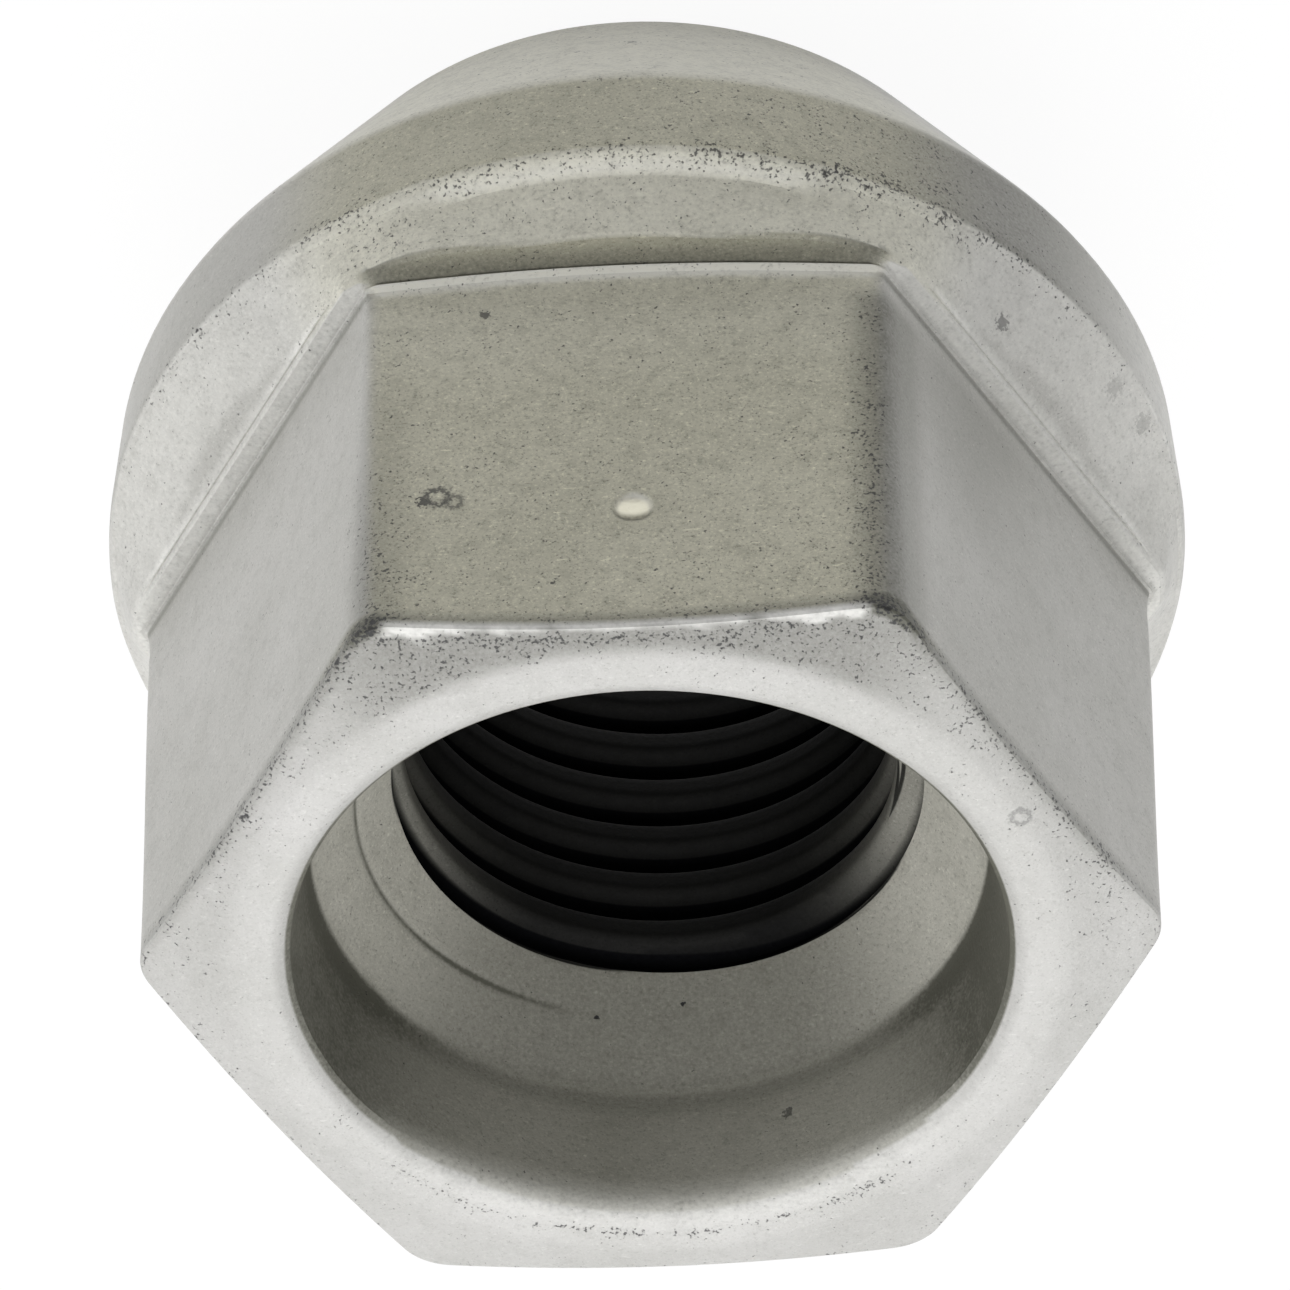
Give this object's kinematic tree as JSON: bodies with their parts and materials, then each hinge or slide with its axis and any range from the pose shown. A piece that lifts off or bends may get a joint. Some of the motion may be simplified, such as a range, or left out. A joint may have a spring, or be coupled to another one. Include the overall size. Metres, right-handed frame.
{
  "type": "lug nut",
  "caption": "Open-ended wheel lug nut in one forged piece: hexagon with a counterbored mouth, collared flange, conical seat and a tapped through hole for the wheel stud.",
  "frame": {"origin": "centre of the small end of the conical seat, which the nut stands on", "axes": "+Z along the thread axis towards the hexagon's open end, flats of the hexagon facing +Y and -Y, the flat with the dimple facing -Y"},
  "size_m": [0.0238, 0.0238, 0.0216],
  "materials": {
    "coated_steel": "matte silver-grey coating on forged steel, with dark specks at the edges"
  },
  "bodies": {
    "root": {"lug_nut": "coated_steel"}
  },
  "joints": []
}
